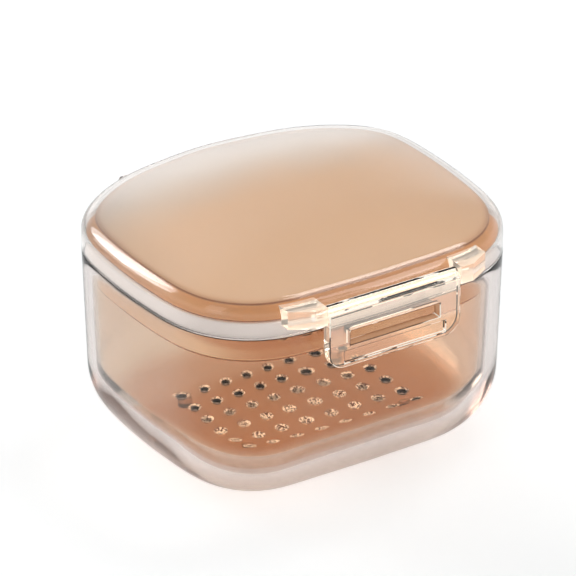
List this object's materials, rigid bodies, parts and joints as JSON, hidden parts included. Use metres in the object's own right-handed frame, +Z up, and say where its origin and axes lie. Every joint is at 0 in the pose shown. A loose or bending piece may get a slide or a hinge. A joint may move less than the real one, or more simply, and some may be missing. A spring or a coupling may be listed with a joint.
{
  "type": "mouthguard case",
  "caption": "Clear hinged mouthguard case with a lift-out perforated basket, lined domed lid, silicone seal and front snap latch.",
  "frame": {"origin": "centre of the flat resting face under the base", "axes": "+X across the width to the right of the latch, +Y from the latch to the hinge, +Z up"},
  "size_m": [0.09, 0.0898, 0.0588],
  "materials": {
    "clear_shell": "clear, polished, faint warm tint",
    "copper_tint": "translucent copper, polished",
    "frosted_copper": "translucent copper with a satin inside",
    "silicone": "milky silicone, satin",
    "clear_latch": "clear, polished",
    "pin_steel": "drawn steel wire"
  },
  "bodies": {
    "base": {"base_shell": "clear_shell", "hinge_pin": "pin_steel"},
    "basket": {"strainer_basket": "copper_tint"},
    "lid": {"lid_shell": "clear_shell", "lid_liner": "frosted_copper", "seal_ring": "silicone", "latch_pin": "clear_latch"},
    "latch": {"latch": "clear_latch"}
  },
  "joints": [
    {"name": "lid_hinge", "type": "hinge", "parent": "base", "child": "lid", "pos_m": [0, 0.0432, 0.04715], "axis": [-1, 0, 0], "range_deg": [0, 110]},
    {"name": "latch_swing", "type": "hinge", "parent": "lid", "child": "latch", "pos_m": [0, -0.0417, 0.0527], "axis": [-1, 0, 0], "range_deg": [0, 100]},
    {"name": "basket_lift", "type": "slide", "parent": "base", "child": "basket", "axis": [0, 0, 1], "range_m": [0, 0.0077]}
  ],
  "couplings": [
    {"joint": "basket_lift", "follows": "lid_hinge", "m_per_rad": 0.004}
  ]
}
